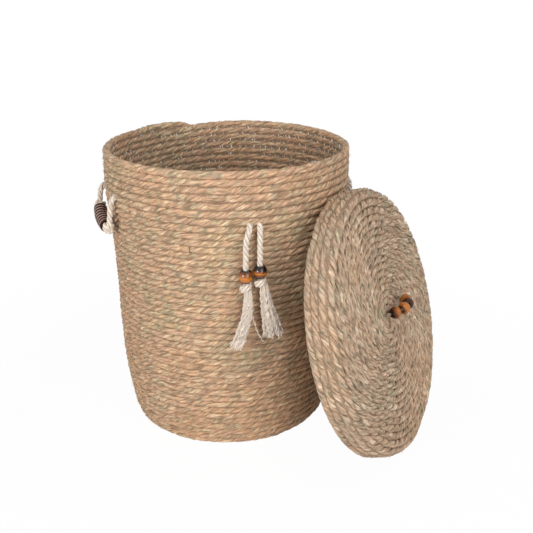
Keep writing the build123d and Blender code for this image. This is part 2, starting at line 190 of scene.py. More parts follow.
def laid_rope_tree(name, upright):
    """Twists oval strands round a line; upright keeps a level coil's lay steady from piece to piece."""
    tree, given, line = line_tree(
        name, Strands=3, Strand_Depth=0.0032, Strand_Width=0.0041, Offset=0.0031, Sides=10, Step=ROPE_STEP,
        Lay=-0.066, Start=0.0, Wander=0.0, Unevenness=0.0, Lay_Unevenness=0.0, Taper=0.0, Fuzz=0.0,
        Fuzz_Length=0.006,
    )
    line = shape(tree, "ResampleCurve", line, Length=given["Step"], mode="LENGTH")
    place = shape(tree, "InputPosition")
    drift = vector(tree, "SUBTRACT", noise(tree, place, 21.0, 1.0)["Color"], (0.5, 0.5, 0.5))
    line = shape(tree, "SetPosition", line, Offset=scaled(tree, drift, given["Wander"]))
    if upright:
        line = shape(tree, "SetCurveNormal", line, mode="Z_UP")
    travelled = node(tree, "GeometryNodeSplineParameter").outputs["Length"]
    along = calc(tree, "ADD", travelled, given["Start"])
    line = store(tree, line, "along", along)
    slip = calc(tree, "SUBTRACT", noise(tree, along, 19.0, 1.0, "1D")[0], 0.5)
    slip = times(tree, slip, given["Lay Unevenness"])
    turns = calc(tree, "ADD", calc(tree, "DIVIDE", along, given["Lay"]), slip)
    line = shape(tree, "SetCurveTilt", line, Tilt=times(tree, turns, FULL_TURN))
    left = calc(tree, "SUBTRACT", shape(tree, "SplineLength"), travelled)
    left = calc(tree, "DIVIDE", left, calc(tree, "MAXIMUM", given["Taper"], 1e-5))
    slim = calc(tree, "MINIMUM", calc(tree, "MULTIPLY_ADD", left, 0.5, 0.5), 1.0)
    swell = calc(tree, "SUBTRACT", noise(tree, along, 37.0, 2.0, "1D")[0], 0.5)
    swell = calc(tree, "MULTIPLY_ADD", swell, times(tree, given["Unevenness"], 120.0), 1.0)

    number = shape(tree, "InputIndex")
    angle = times(tree, calc(tree, "DIVIDE", number, given["Strands"]), FULL_TURN)
    spot = (times(tree, calc(tree, wave, angle), given["Offset"]) for wave in ("COSINE", "SINE"))
    spot = node(tree, "ShaderNodeCombineXYZ", *spot).outputs[0]
    spots = store(tree, shape(tree, "Points", given["Strands"], Position=spot), "strand", number)
    facing = spin(tree, "AxisAngleToRotation", (0.0, 0.0, 1.0), angle)
    oval = node(tree, "ShaderNodeCombineXYZ", given["Strand Depth"], given["Strand Width"], 1.0).outputs[0]
    section = store(tree, ring(tree, given["Sides"], 1.0), "round", place, "FLOAT_VECTOR")
    section = shape(tree, "InstanceOnPoints", spots, Instance=section, Rotation=facing, Scale=oval)
    section = shape(tree, "RealizeInstances", section)
    full = calc(tree, "ADD", given["Offset"], given["Strand Depth"])
    # Crest: how far a point lies out from the rope's axis; the materials paint shade where it is low.
    section = store(tree, section, "crest", calc(tree, "DIVIDE", vector(tree, "LENGTH", place), full))

    rope = shape(
        tree, "CurveToMesh", line, Profile_Curve=section, Scale=times(tree, slim, swell), Fill_Caps=True
    )
    lump = calc(tree, "SUBTRACT", noise(tree, place, 260.0, 1.0)[0], 0.5)
    lump = times(tree, lump, times(tree, given["Unevenness"], 2.0))
    rope = shape(tree, "SetPosition", rope, Offset=scaled(tree, shape(tree, "InputNormal"), lump))
    roots = node(
        tree, "GeometryNodeDistributePointsOnFaces", rope, Density=given["Fuzz"], Seed=5,
        distribute_method="RANDOM",
    ).outputs
    lean = node(tree, "FunctionNodeRandomValue", *HAIR_LEAN, Seed=8, data_type="FLOAT_VECTOR").outputs[0]
    lean = spin(tree, "EulerToRotation", lean)
    stand = spin(tree, "RotateRotation", roots["Rotation"], lean, rotation_space="LOCAL")
    hair = shape(
        tree, "CurveQuadraticBezier", 3, Start=(0.0, 0.0, -0.1), Middle=(0.1, 0.0, 0.5), End=(0.35, 0.1, 1.0)
    )
    hair = shape(tree, "CurveToMesh", hair, Profile_Curve=ring(tree, 3, 0.028))
    size = times(tree, chance(tree, 9, 0.35, 1.0), given["Fuzz Length"])
    fuzz = shape(tree, "InstanceOnPoints", roots["Points"], Instance=hair, Rotation=stand, Scale=size)
    fuzz = store(tree, shape(tree, "RealizeInstances", fuzz), "crest", 1.0)
    both = node(tree, "GeometryNodeJoinGeometry")
    for part in (fuzz, rope):
        tree.links.new(part, both.inputs[0])
    return covered(tree, shape(tree, "SetShadeSmooth", both.outputs[0]), given["Material"])


def grow(name, lines, tree, **values):
    """Runs a tree on one or more lines of points and keeps the result as a plain mesh."""
    points, edges = [], []
    for line in lines:
        first = len(points)
        points += [tuple(point) for point in line]
        edges += [(first + i, first + i + 1) for i in range(len(line) - 1)]
    host = bpy.data.meshes.new(name)
    host.from_pydata(points, edges, [])
    piece = put(name, host)
    grower = piece.modifiers.new("grow", "NODES")
    grower.node_group = tree
    for item in tree.interface.items_tree:
        label = item.name.replace(" ", "_").lower()
        if item.in_out == "INPUT" and label in values:
            grower[item.identifier] = values[label]
    graph = bpy.context.evaluated_depsgraph_get()
    mesh = bpy.data.meshes.new_from_object(
        piece.evaluated_get(graph), preserve_all_data_layers=True, depsgraph=graph
    )
    piece.modifiers.clear()
    piece.data = mesh
    bpy.data.meshes.remove(host)
    mesh.name = name
    return piece


def smooth(value):
    value = np.clip(value, 0.0, 1.0)
    return value * value * (3 - 2 * value)


def coil_line(profile, pitch, heading, turning, level, rise=0.0):
    """Centre line of a rope coiled along a profile of radius and height, one course per pitch. It ends at
    a heading, and its last courses run level and step down beside the rope's end, as a maker does it."""
    fine, step_share, end_share = 0.00002, 0.16, 0.02
    level_from, rise_from, rise_over = 1.5, 0.105, 0.05
    profile = np.array(profile)
    run = np.append(0, np.cumsum(np.hypot(*np.diff(profile, axis=0).T)))
    sewn = np.arange(0, run[-1], fine)
    below = (run[-1] - sewn) / pitch
    angle = math.radians(heading) - turning * FULL_TURN * below
    stair = np.floor(below) + smooth((below % 1 - 1 + step_share / 2) / step_share)
    stair += smooth((below % 1 + step_share / 2) / step_share) - 1
    stair = np.where(below < 0.5, 0.5 * smooth(1 - below / end_share), stair)
    share = 1 - smooth((below - level_from) / level)
    place = np.clip(run[-1] - pitch * (share * stair + (1 - share) * below), 0, run[-1])
    radius = np.interp(place, run, profile[:, 0])
    height = np.interp(place, run, profile[:, 1]) + rise * smooth((rise_from - below) / rise_over)
    line = np.stack([radius * np.cos(angle), radius * np.sin(angle), height], axis=1)
    length = np.append(0, np.cumsum(np.linalg.norm(np.diff(line, axis=0), axis=1)))
    even = np.arange(0, length[-1], ROPE_STEP)
    course = np.interp(even, length, below)
    return np.stack([np.interp(even, length, line[:, i]) for i in range(3)], axis=1), course, even


BASE_EDGE = 0.1623
COIL_HEART = 0.003
WALL_HEIGHTS = (0.0171, 0.0570, 0.115, 0.240, 0.340, 0.424, 0.4743)
WALL_RADII = (0.1728, 0.1808, 0.188, 0.193, 0.1985, 0.206, 0.206)
WALL_SLOPES = (0.24, 0.16, 0.08, 0.045, 0.075, 0.04, 0.0)
ROWS_PER_SPAN = 24


def wall_profile():
    """Rope centres up the wall: a soft bulge, a cone and a straight collar."""
    rows = []
    for i in range(len(WALL_HEIGHTS) - 1):
        low, high = WALL_HEIGHTS[i], WALL_HEIGHTS[i + 1]
        for t in np.linspace(0, 1, ROWS_PER_SPAN, endpoint=False):
            h00, h10 = 2 * t**3 - 3 * t**2 + 1, t**3 - 2 * t**2 + t
            h01, h11 = -2 * t**3 + 3 * t**2, t**3 - t**2
            radius = h00 * WALL_RADII[i] + h01 * WALL_RADII[i + 1]
            radius += (high - low) * (h10 * WALL_SLOPES[i] + h11 * WALL_SLOPES[i + 1])
            rows.append((radius - ROPE / 2, low + (high - low) * t))
    rows.append((WALL_RADII[-1] - ROPE / 2, WALL_HEIGHTS[-1]))
    return rows


RIM_END_HEADING = 137.0
RIM_END_RISE = 0.0036
RIM_LEVEL_COURSES = 7.0
basket_profile = [(COIL_HEART, ROPE / 2), (BASE_EDGE, ROPE / 2)] + wall_profile()
basket_line, basket_course, basket_along = coil_line(
    basket_profile, ROPE, RIM_END_HEADING, -1, RIM_LEVEL_COURSES, rise=RIM_END_RISE
)


def fibre_group():
    """Streaks along a strand's fibres, slow change of tone from length to length, and depth in the lay."""
    group, given = new_tree(
        "strand_fibres", "ShaderNodeTree", {"Streak": "Float", "Tone": "Float", "Crest": "Float"},
        Across=0.75, Along=50.0, Tone=26.0,
    )
    girth = node(group, "ShaderNodeAttribute", attribute_name="round").outputs["Vector"]
    along, strand, crest = (
        node(group, "ShaderNodeAttribute", attribute_name=label).outputs["Fac"]
        for label in ("along", "strand", "crest")
    )
    lift = calc(group, "MULTIPLY_ADD", along, given["Along"], times(group, strand, 17.3))
    spot = vector(group, "ADD", scaled(group, girth, given["Across"]), upward(group, lift))
    streak = noise(group, spot, 1.6, 3.0, Roughness=0.55)[0]
    length = calc(group, "MULTIPLY_ADD", strand, 31.7, times(group, along, given["Tone"]))
    tone = noise(group, length, 1.0, 2.0, "1D")[0]
    node(group, "NodeGroupOutput", Streak=streak, Tone=tone, Crest=crest)
    return group


strand_fibres = fibre_group()


def ramp(tree, value, stops):
    """Colour ramp through the given stops."""
    made = node(tree, "ShaderNodeValToRGB", value)
    while len(made.color_ramp.elements) < len(stops):
        made.color_ramp.elements.new(1.0)
    for element, (position, colour) in zip(made.color_ramp.elements, stops):
        element.position = position
        element.color = (*colour, 1.0)
    return made.outputs["Color"]


def mix(tree, share, first, second, how="MIX"):
    made = node(tree, "ShaderNodeMix", share, data_type="RGBA", blend_type=how)
    feed(tree, made, {6: first, 7: second})
    return made.outputs[2]


def shaded(tree, colour, shade):
    """Colour made darker or lighter by a number."""
    grey = node(tree, "ShaderNodeCombineColor", shade, shade, shade).outputs[0]
    return mix(tree, 1.0, colour, grey, "MULTIPLY")


def span(tree, value, low, high, start, end):
    """Maps a value from one range to another and holds it at the ends."""
    return node(tree, "ShaderNodeMapRange", value, low, high, start, end).outputs[0]


def surface(name):
    """New material; returns it with its tree and its shader."""
    material = bpy.data.materials.new(name)
    material.use_nodes = True
    return material, material.node_tree, material.node_tree.nodes["Principled BSDF"]


def relief(tree, height, strength, distance):
    """Fine raised detail on a surface."""
    return node(tree, "ShaderNodeBump", Height=height, Strength=strength, Distance=distance).outputs[0]


BATCH_TINT = ((0.36, (0.945, 0.985, 0.97)), (0.5, (1.0, 0.975, 0.985)), (0.66, (1.0, 0.94, 0.90)))


def seagrass(name, tones, groove_shade_colour, pale, dull, groove_shade=0.5):
    """Dried grass: mixed tones from strand to strand, fine streaks, painted shade between the strands, and a
    slow change from greener to ruddier rope over the piece."""
    material, tree, shader = surface(name)
    fibre = node(tree, "ShaderNodeGroup", node_tree=strand_fibres).outputs
    streak = fibre["Streak"]
    tone = span(tree, fibre["Tone"], 0.30, 0.70, 0.28, 0.78)
    mottle = calc(tree, "MULTIPLY_ADD", calc(tree, "SUBTRACT", streak, 0.5), 0.4, tone)
    colour = shaded(tree, ramp(tree, mottle, tones), span(tree, streak, 0.34, 0.66, dull, pale))
    spot = own_place(tree)
    height = node(tree, "ShaderNodeSeparateXYZ", spot).outputs["Z"]
    batch = noise(tree, spot, 10.0, 2.0)[0]
    batch = calc(tree, "ADD", batch, span(tree, height, 0.02, 0.17, 0.14, 0.0))
    colour = mix(tree, 1.0, colour, ramp(tree, batch, BATCH_TINT), "MULTIPLY")
    # Painted shade: darker where the surface lies deep between the strands.
    depth = span(tree, fibre["Crest"], 0.42, 0.80, groove_shade, 0.0)
    feed(tree, shader, {
        "Base Color": mix(tree, depth, colour, (*groove_shade_colour, 1.0)),
        "Roughness": span(tree, streak, 0.2, 0.8, 0.78, 0.58),
        "Specular IOR Level": 0.35,
        "Normal": relief(tree, streak, 0.7, 0.0016),
    })
    return material


# Wall grass; its dark third colour is painted shade between the strands.
dried_seagrass = seagrass(
    "dried_seagrass",
    (
        (0.28, (0.430, 0.275, 0.165)), (0.37, (0.430, 0.352, 0.226)), (0.44, (0.585, 0.425, 0.268)),
        (0.51, (0.520, 0.338, 0.205)), (0.58, (0.560, 0.362, 0.240)), (0.66, (0.550, 0.345, 0.190)),
        (0.74, (0.640, 0.475, 0.310)),
    ),
    (0.200, 0.128, 0.078), pale=1.27, dull=0.535,
)
coil_rope_tree = laid_rope_tree("laid_rope", True)
ROPE_LOOK = dict(wander=0.0022, unevenness=0.0010, lay_unevenness=0.7, fuzz=1800.0, fuzz_length=0.007)


def rope_piece(name, line, along, keep, material, **extra):
    """One stretch of a coiled rope; neighbouring stretches share their end ring."""
    rows = np.flatnonzero(keep)
    rows = np.append(rows, min(rows[-1] + 1, len(line) - 1))
    look = {**ROPE_LOOK, **extra}
    return grow(name, [line[rows]], coil_rope_tree, start=float(along[rows[0]]), material=material, **look)


WALL_FOOT = ROPE * 0.95
wall_rows = int(np.argmax(basket_line[:, 2] > WALL_FOOT))
order = np.arange(len(basket_line))
base_rope = rope_piece("base_rope", basket_line, basket_along, order < wall_rows, dried_seagrass, fuzz=0.0)
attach(base_rope, "basket")
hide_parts("base_coil")

# Wall: about forty courses of the same rope, each sewn to the one below. It is cut into four bands
# only to keep each piece light.
WALL_BANDS = 4
rim_rows = int(np.argmax(basket_course < 1.0))
cuts = np.linspace(wall_rows, rim_rows, WALL_BANDS + 1).astype(int)
for band in range(WALL_BANDS):
    keep = (order >= cuts[band]) & (order < cuts[band + 1])
    wall_rope = rope_piece(f"wall_rope_{band + 1}", basket_line, basket_along, keep, dried_seagrass)
    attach(wall_rope, "basket")
    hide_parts("wall_coil")

# Groove sheet: a dark layer on both sides of the rope's middle that fills part of each groove, so no
# light shows through the wall. Its dark colour is painted shade for the deep grooves between the courses.
SHEET_HEART = 0.0002
OUTER_FILL = 0.0025
INNER_FILL = 0.0034
FIRST_SHEET_ROW, SHEET_ROW_STEP = 7, 6


def lathe(name, profile, sides=128):
    """Sheet turned round the axis from a profile of radius and height."""
    turns = [FULL_TURN * k / sides for k in range(sides)]
    rows = [
        (radius * math.cos(turn), radius * math.sin(turn), height)
        for radius, height in profile for turn in turns
    ]
    faces = []
    for low in range(0, (len(profile) - 1) * sides, sides):
        for k in range(sides):
            after = (k + 1) % sides
            faces.append((low + k, low + after, low + sides + after, low + sides + k))
    mesh = bpy.data.meshes.new(name)
    mesh.from_pydata(rows, [], faces)
    mesh.shade_smooth()
    piece = put(name, mesh)
    return piece


def speckled(name, scale, detail, stops, roughness):
    """Surface in two tones that change from spot to spot."""
    material, tree, shader = surface(name)
    colour = ramp(tree, noise(tree, own_place(tree), scale, detail)[0], stops)
    feed(tree, shader, {"Base Color": colour, "Roughness": roughness})
    return material


# The sheet's colours are painted shade for the deep grooves.
sewing_dark = speckled(
    "sewing_dark", 320.0, 3.0, ((0.3, (0.200, 0.132, 0.080)), (0.7, (0.380, 0.262, 0.168))), 0.9
)
sheet_rows = basket_profile[FIRST_SHEET_ROW::SHEET_ROW_STEP]
wall_sewing = lathe(
    "wall_sewing",
    [
        (SHEET_HEART, ROPE / 2), (BASE_EDGE, ROPE / 2),
        *((radius + OUTER_FILL, height) for radius, height in sheet_rows), basket_profile[-1],
        *((radius - INNER_FILL, height) for radius, height in reversed(sheet_rows)),
    ],
)
wall_sewing.data.materials.append(sewing_dark)
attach(wall_sewing, "basket")
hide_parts("wall_coil", "base_coil")

# Stitches: the clear thread that sews each course to the one below, seen inside as short slanted
# stitches over the joints; their pale flecks are painted glints on the clear thread.
STITCHED_FROM = 0.012


def stitch_tree():
    """Short bowed threads set at even steps along a coil, on the side that faces in."""
    tree, given, line = line_tree(
        "sewn_stitches", Spacing=0.0085, Inset=0.0054, Drop=0.0057, Reach=0.0046, Thread=0.0008
    )
    line = shape(tree, "SetCurveNormal", line, mode="Z_UP")
    spots = node(tree, "GeometryNodeCurveToPoints", line, Length=given["Spacing"], mode="LENGTH").outputs
    down = upward(tree, times(tree, given["Drop"], -1.0))
    move = vector(tree, "ADD", scaled(tree, spots["Normal"], given["Inset"]), down)
    move = vector(tree, "ADD", move, scaled(tree, spots["Tangent"], chance(tree, 3, -0.008, 0.008)))
    points = shape(tree, "SetPosition", spots["Points"], Offset=move)
    facing = spin(
        tree, "AxesToRotation", (0.0, 0.0, 1.0), spots["Normal"], primary_axis="Z", secondary_axis="X"
    )
    slant = spin(tree, "AxisAngleToRotation", (1.0, 0.0, 0.0), chance(tree, 4, -0.2, 0.9))
    facing = spin(tree, "RotateRotation", facing, slant, rotation_space="LOCAL")
    bow = shape(
        tree, "CurveQuadraticBezier", 3, Start=(-0.12, 0.0, -0.5), Middle=(0.12, 0.0, 0.0),
        End=(-0.12, 0.0, 0.5),
    )
    girth = calc(tree, "DIVIDE", given["Thread"], given["Reach"])
    thread = shape(tree, "CurveToMesh", bow, Profile_Curve=ring(tree, 4, girth))
    size = times(tree, chance(tree, 6, 0.25, 1.15), given["Reach"])
    sewn = shape(tree, "InstanceOnPoints", points, Instance=thread, Rotation=facing, Scale=size)
    return covered(tree, sewn, given["Material"])


# The thread is real; its near-white tone is painted glint.
clear_thread = speckled(
    "clear_thread", 90.0, 1.0, ((0.42, (0.45, 0.38, 0.30)), (0.58, (0.94, 0.92, 0.88))), 0.3
)
sewn_line = basket_line[basket_line[:, 2] > STITCHED_FROM]
wall_stitches = grow("wall_stitches", [sewn_line], stitch_tree(), material=clear_thread)
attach(wall_stitches, "basket")
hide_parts("wall_coil")

# Rim: the last course, which runs level round the mouth. Its end at the back is thinned and laid
# down on the course below.
RIM_TAPER = 0.05
rim_end_rope = rope_piece(
    "rim_end_rope", basket_line, basket_along, order >= rim_rows, dried_seagrass, taper=RIM_TAPER
)
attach(rim_end_rope, "basket")
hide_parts("rim_rope")

# Lid: a rope of two flatter strands, coiled flat from the middle and turned down over a rounded
# shoulder into a skirt that slips over the rim. It stands on its edge and leans on the basket.
LID_LEAN = math.radians(15.4)
LID_PLACE = Vector((0.261971, -0.0217, 0.209057))
lid_out = Vector((math.cos(LID_LEAN), 0.0, math.sin(LID_LEAN)))
lid_up = Vector((-math.sin(LID_LEAN), 0.0, math.cos(LID_LEAN)))
lid_side = Vector((0.0, -1.0, 0.0))
lid_frame = Matrix.Translation(LID_PLACE) @ Matrix((lid_up, lid_side, lid_out)).transposed().to_4x4()
LID_FLAT = 0.2002
LID_TOP = 0.0423
LID_BEND = 0.0123
LID_BEND_ROWS = 14
LID_EDGE = ROPE / 2
lid_profile = [(COIL_HEART, LID_TOP), (LID_FLAT, LID_TOP)]
for turn in np.linspace(0, math.pi / 2, LID_BEND_ROWS)[1:]:
    lid_profile.append((LID_FLAT + LID_BEND * math.sin(turn), LID_TOP - LID_BEND * (1 - math.cos(turn))))
lid_profile.append((LID_FLAT + LID_BEND, LID_EDGE))
LID_END_HEADING = 200.0
LID_LEVEL_COURSES = 5.0
LID_END_TAPER = 0.11
lid_line, _, lid_along = coil_line(lid_profile, ROPE, LID_END_HEADING, 1, LID_LEVEL_COURSES)
LID_TONES = (
    (0.28, (0.365, 0.255, 0.167)), (0.37, (0.430, 0.350, 0.241)), (0.44, (0.535, 0.412, 0.284)),
    (0.51, (0.475, 0.342, 0.226)), (0.58, (0.520, 0.368, 0.256)), (0.66, (0.495, 0.340, 0.216)),
    (0.74, (0.625, 0.495, 0.356)),
)
grey_seagrass = seagrass("grey_seagrass", LID_TONES, (0.190, 0.130, 0.088), pale=1.36, dull=0.48)
# The skirt's copy has a paler painted shade in its grooves, and less of it.
pressed_seagrass = seagrass(
    "pressed_seagrass", LID_TONES, (0.25, 0.175, 0.115), pale=1.26, dull=0.48, groove_shade=0.36
)
skirt_rows = int(np.argmax(lid_line[:, 2] < LID_TOP - LID_BEND))
lid_order = np.arange(len(lid_line))
for name, keep, taper, grass, strand in (
    ("lid_top", lid_order < skirt_rows, 0.0, grey_seagrass, (0.0033, 0.0052, 0.0028)),
    ("lid_skirt", lid_order >= skirt_rows, LID_END_TAPER, pressed_seagrass, (0.0035, 0.0053, 0.0026)),
):
    depth, width, offset = strand
    lid_rope = rope_piece(
        f"{name}_rope", lid_line, lid_along, keep, grass, taper=taper, strands=2, sides=12,
        strand_depth=depth, strand_width=width, offset=offset, lay=-0.050, unevenness=0.0007,
    )
    lid_rope.data.transform(lid_frame)
    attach(lid_rope, "lid")
    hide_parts(f"{name}_coil")
# The skirt's sheet stands nearer the surface, so the skirt's grooves show its painted shade, not deep shadow.
SKIRT_FILL = 0.0032
lid_sheet_profile = [
    (radius + SKIRT_FILL * smooth((radius - LID_FLAT) / LID_BEND), height)
    for radius, height in lid_profile[1:]
]
lid_sewing = lathe("lid_sewing", [(SHEET_HEART, LID_TOP)] + lid_sheet_profile)
lid_sewing.data.materials.append(sewing_dark)
lid_sewing.data.transform(lid_frame)
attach(lid_sewing, "lid")
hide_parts("lid_top_coil", "lid_skirt_coil")

# Drop handles: a loop of thick cotton cord comes out of the wall through two courses, with a knot
# behind each hole inside and a stop knot at each end of a grip of wooden discs.
HANDLE_HEADING = {"left": -135.0, "right": 45.0}
HANDLE_EXIT = 0.416
HANDLE_HALF = 0.044
HANDLE_ROOT = 0.1965
HANDLE_PIVOT = 0.208083
HANDLE_SWAY = (0.2015, HANDLE_EXIT), (0.2105, 0.398)
GRIP_RADIAL = 0.212083
GRIP_HEIGHT = 0.371
GRIP_BOW = ((-HANDLE_HALF, 0.0), (-0.0325, 0.0012), (0.0, 0.005), (0.0325, 0.0012), (HANDLE_HALF, 0.0))
GRIP_HANG = {"left": (-0.0019, -0.232, 2.0), "right": (0.0, 0.0, 0.0)}
STOP_KNOT_REACH = 0.0386
KNOT_RADIUS = 0.0062
KNOT_DEPTH = 1.35
KNOT_POINTS = 73
INNER_KNOT_RADIAL = 0.1793
INNER_KNOT_TURN = 0.6


def around(heading, radial, side, height):
    """Point at a distance from the basket's axis and to one side of a heading."""
    turn = math.radians(heading)
    ahead, beside = math.cos(turn), math.sin(turn)
    return Vector((radial * ahead - side * beside, radial * beside + side * ahead, height))


def route(name, points):
    """Points along a smooth spline that is drawn towards the route's points."""
    curve = bpy.data.curves.new(name, "CURVE")
    curve.dimensions = "3D"
    curve.resolution_u = 24
    spline = curve.splines.new("NURBS")
    spline.points.add(len(points) - 1)
    for point, place in zip(spline.points, points):
        point.co = (*place, 1.0)
    spline.order_u = 3
    spline.use_endpoint_u = True
    guide = put(name, curve)
    graph = bpy.context.evaluated_depsgraph_get()
    mesh = bpy.data.meshes.new_from_object(guide.evaluated_get(graph))
    places = [vertex.co.copy() for vertex in mesh.vertices]
    bpy.data.objects.remove(guide)
    bpy.data.curves.remove(curve)
    bpy.data.meshes.remove(mesh)
    return places


def length_of(places):
    return sum((b - a).length for a, b in zip(places, places[1:]))


def cotton(name, yarn, groove_shade):
    """Cotton in three tones of yarn, fuzzy and matt, with painted shade in the grooves of the lay."""
    material, tree, shader = surface(name)
    fibre = node(
        tree, "ShaderNodeGroup", node_tree=strand_fibres, Across=1.1, Along=150.0, Tone=18.0
    ).outputs
    colour = ramp(tree, fibre["Streak"], tuple(zip((0.32, 0.5, 0.68), yarn)))
    colour = shaded(tree, colour, span(tree, fibre["Tone"], 0.3, 0.7, 0.84, 1.12))
    # Painted shade: darker where the yarn lies deep in the lay.
    depth = span(tree, fibre["Crest"], 0.50, 0.90, 0.8, 0.0)
    feed(tree, shader, {
        "Base Color": mix(tree, depth, colour, (*groove_shade, 1.0)),
        "Roughness": 0.9,
        "Specular IOR Level": 0.2,
        "Sheen Weight": 0.25,
        "Normal": relief(tree, fibre["Streak"], 0.5, 0.0006),
    })
    return material


# The last colour of each cotton is the painted shade in the grooves.
undyed_cotton = cotton(
    "undyed_cotton", ((0.60, 0.490, 0.390), (0.735, 0.635, 0.535), (0.83, 0.740, 0.650)),
    (0.32, 0.235, 0.165),
)
cord_tree = laid_rope_tree("laid_cord", False)
CORD_LOOK = dict(
    strands=3, strand_depth=0.0022, strand_width=0.0027, offset=0.0025, sides=12, step=0.0013, lay=-0.029,
    unevenness=0.0006, lay_unevenness=0.25, fuzz=60000.0, fuzz_length=0.0032, material=undyed_cotton,
)


def cotton_piece(name, lines, **extra):
    piece = grow(name, lines, cord_tree, **{**CORD_LOOK, **extra})
    return piece


def knot_line(centre, axis, radius, turned=0.0):
    """Closed overhand knot pulled tight, its hole along an axis."""
    facing = Vector(axis).normalized().to_track_quat("Z", "Y")
    places = []
    for t in np.linspace(0, FULL_TURN, KNOT_POINTS):
        flat = Vector((
            math.sin(t) + 2 * math.sin(2 * t), math.cos(t) - 2 * math.cos(2 * t),
            -KNOT_DEPTH * math.sin(3 * t),
        ))
        flat.rotate(Matrix.Rotation(turned, 3, "Z"))
        flat.rotate(facing)
        places.append(Vector(centre) + flat * radius / 3)
    return places


def place_on(places, reach):
    """Point and direction at a length along a route."""
    for a, b in zip(places, places[1:]):
        run = (b - a).length
        if reach <= run:
            return a.lerp(b, reach / run), (b - a).normalized()
        reach -= run


handles = {}
for side, heading in HANDLE_HEADING.items():
    lift, slope, sag = GRIP_HANG[side]
    grip = [
        around(heading, GRIP_RADIAL + bow, across, GRIP_HEIGHT + lift + slope * across + sag * across**2)
        for across, bow in GRIP_BOW
    ]
    near, far = (
        [around(heading, radial, across, HANDLE_EXIT) for radial in (HANDLE_ROOT, HANDLE_PIVOT)]
        for across in (-HANDLE_HALF, HANDLE_HALF)
    )
    path = route(f"{side}_handle_route", [*near, *grip, *reversed(far)])
    middle = length_of([place for place in path if place.dot(around(heading, 0.0, 1.0, 0.0)) < 0.0])
    handle_cord = cotton_piece(f"{side}_handle_loop", [path])
    start, end = (around(heading, radial, 0.0, height) for radial, height in HANDLE_SWAY)
    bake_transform(handle_cord)
    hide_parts(f"{side}_handle_cord")
    stop_knots = cotton_piece(
        f"{side}_handle_stop_knots",
        [knot_line(*place_on(path, middle + across * STOP_KNOT_REACH), KNOT_RADIUS) for across in (-1, 1)],
    )
    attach(stop_knots, f"{side}_handle")
    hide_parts(f"{side}_handle_cord")
    handles[side] = (handle_cord, path, middle, stop_knots)
    inner_knots = cotton_piece(
        f"{side}_handle_inner_knots",
        [
            knot_line(
                around(heading, INNER_KNOT_RADIAL, across * HANDLE_HALF, HANDLE_EXIT),
                around(heading, 1.0, 0.0, 0.0), KNOT_RADIUS, turned=INNER_KNOT_TURN * across,
            )
            for across in (-1, 1)
        ],
        strand_depth=0.0017, strand_width=0.002, offset=0.0018, lay=-0.024,
    )
    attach(inner_knots, "basket")
    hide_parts(f"{side}_handle_anchors")

# Grip discs: turned wood, eight thick dark ones with seven thin pale ones between, bored and strung on
# the loop, edge to edge between the stop knots.
DISC_RADIUS = 0.011
DISC_BORE = 0.00505
DISC_PITCH = 0.0079
DISC_THICKNESS = {"dark": 0.005, "light": 0.0024}
DISC_COUNT = {"dark": 8, "light": 7}


def strung_disc_tree():
    """Bored discs with rounded edges at even steps along a route, square to it."""
    tree, given, line = line_tree(
        "strung_discs", Count=8, First=0.0, Pitch=DISC_PITCH, Thickness=0.005, Radius=DISC_RADIUS,
        Bore=DISC_BORE, Edge=0.0008,
    )
    reach = calc(tree, "MULTIPLY_ADD", shape(tree, "InputIndex"), given["Pitch"], given["First"])
    strung = node(
        tree, "GeometryNodeSampleCurve", Curves=line, Length=reach, mode="LENGTH", use_all_curves=True
    ).outputs
    spots = shape(tree, "Points", given["Count"], Position=strung["Position"])
    facing = spin(tree, "AlignRotationToVector", Vector=strung["Tangent"], axis="Z")
    width = calc(tree, "SUBTRACT", given["Radius"], given["Bore"])
    section = shape(tree, "CurvePrimitiveQuadrilateral", width, given["Thickness"])
    section = shape(
        tree, "FilletCurve", section, Count=3, Radius=given["Edge"], Limit_Radius=True, mode="POLY"
    )
    middle = times(tree, calc(tree, "ADD", given["Radius"], given["Bore"]), 0.5)
    circle = shape(tree, "SetCurveNormal", ring(tree, 40, middle), mode="Z_UP")
    disc = shape(tree, "CurveToMesh", circle, Profile_Curve=section)
    discs = shape(tree, "InstanceOnPoints", spots, Instance=disc, Rotation=facing)
    discs = shape(tree, "SetShadeSmooth", shape(tree, "RealizeInstances", discs))
    return covered(tree, discs, given["Material"])


def disc_wood(name, dark, pale, gloss):
    """Fine-grained wood under a satin finish."""
    material, tree, shader = surface(name)
    grain = noise(tree, own_place(tree), 380.0, 4.0, Distortion=0.6)[0]
    feed(tree, shader, {
        "Base Color": ramp(tree, grain, ((0.3, dark), (0.7, pale))),
        "Roughness": span(tree, grain, 0.2, 0.8, gloss - 0.06, gloss + 0.1),
        "Specular IOR Level": 0.05,
        "Normal": relief(tree, grain, 0.15, 0.0003),
    })
    return material


DISC_WOOD = {
    "dark": disc_wood("dark_disc_wood", (0.022, 0.008, 0.005), (0.070, 0.026, 0.016), 0.38),
    "light": disc_wood("pale_disc_wood", (0.34, 0.235, 0.195), (0.48, 0.360, 0.310), 0.5),
}
strung_discs = strung_disc_tree()
for side, (handle_cord, path, middle, stop_knots) in handles.items():
    for shade, thickness in DISC_THICKNESS.items():
        count = DISC_COUNT[shade]
        discs = grow(
            f"{side}_grip_{shade}_discs", [path], strung_discs, count=count, thickness=thickness,
            first=middle - (count - 1) / 2 * DISC_PITCH, material=DISC_WOOD[shade],
        )
        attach(discs, f"{side}_handle")
        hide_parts(f"{side}_handle_{shade}_discs")

